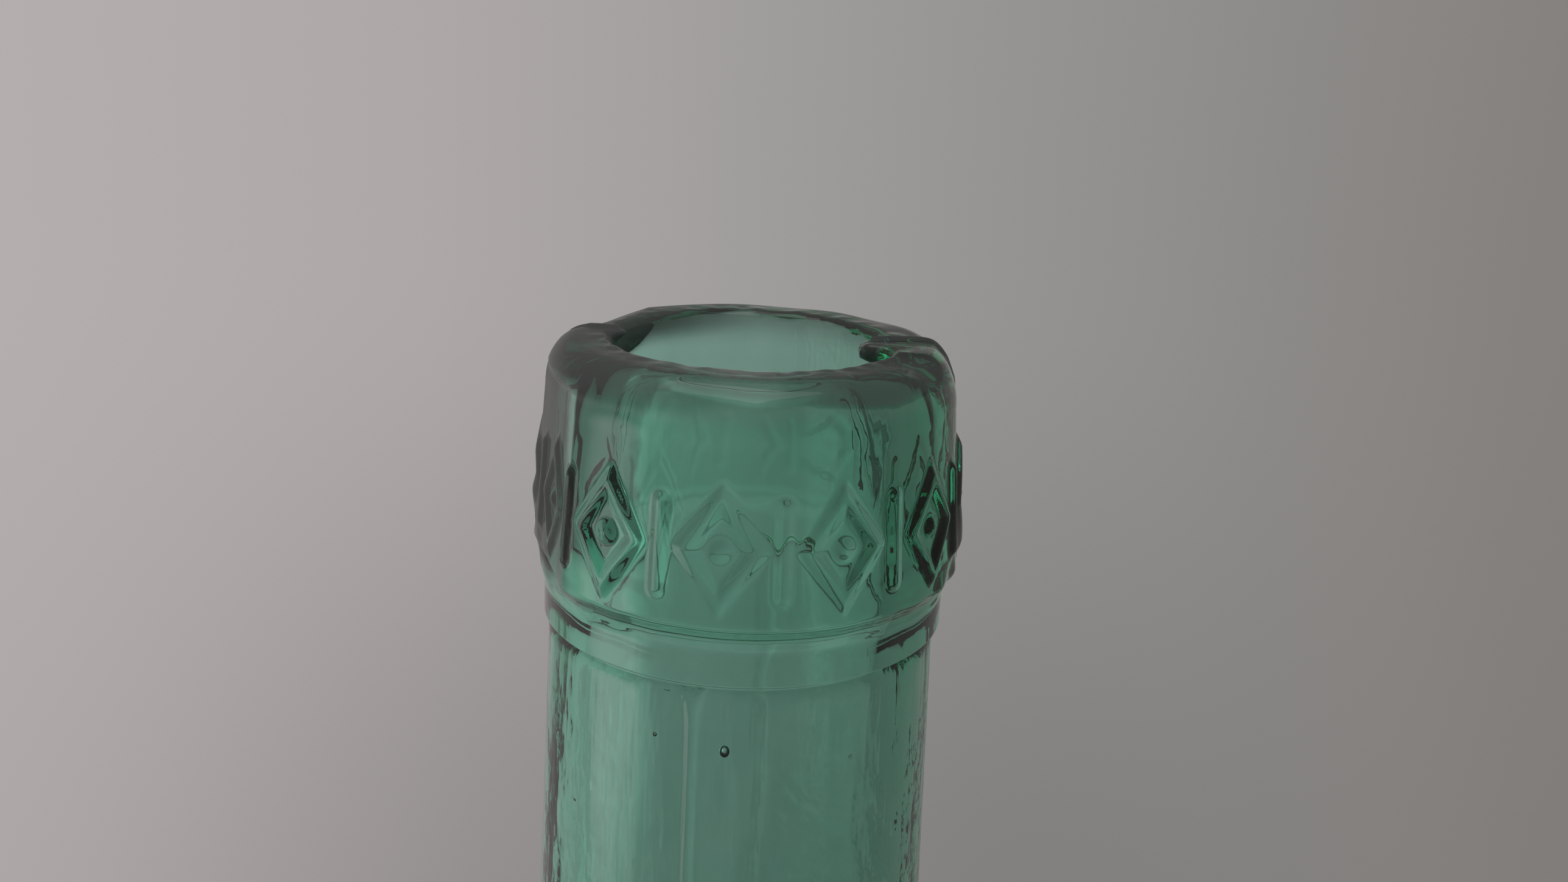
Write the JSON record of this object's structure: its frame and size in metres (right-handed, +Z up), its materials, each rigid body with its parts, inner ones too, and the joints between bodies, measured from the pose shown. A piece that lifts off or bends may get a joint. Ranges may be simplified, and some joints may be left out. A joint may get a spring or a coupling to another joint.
{
  "type": "glass demijohn",
  "caption": "Large empty aqua-green glass demijohn: pear-shaped body with a raised underside, long neck, and a heavy collar with a raised lozenge band round the open mouth.",
  "frame": {"origin": "centre of the foot, on the plane that the foot ring stands on", "axes": "+Z up along the neck's axis, -Y towards the front of the collar, +X to the right as seen from the front"},
  "size_m": [0.304, 0.304, 0.4555],
  "materials": {
    "aqua_glass": "thick aqua-green bottle glass with a fire-polished, slightly wavy surface and a few seed bubbles"
  },
  "bodies": {
    "root": {"demijohn": "aqua_glass"}
  },
  "joints": []
}
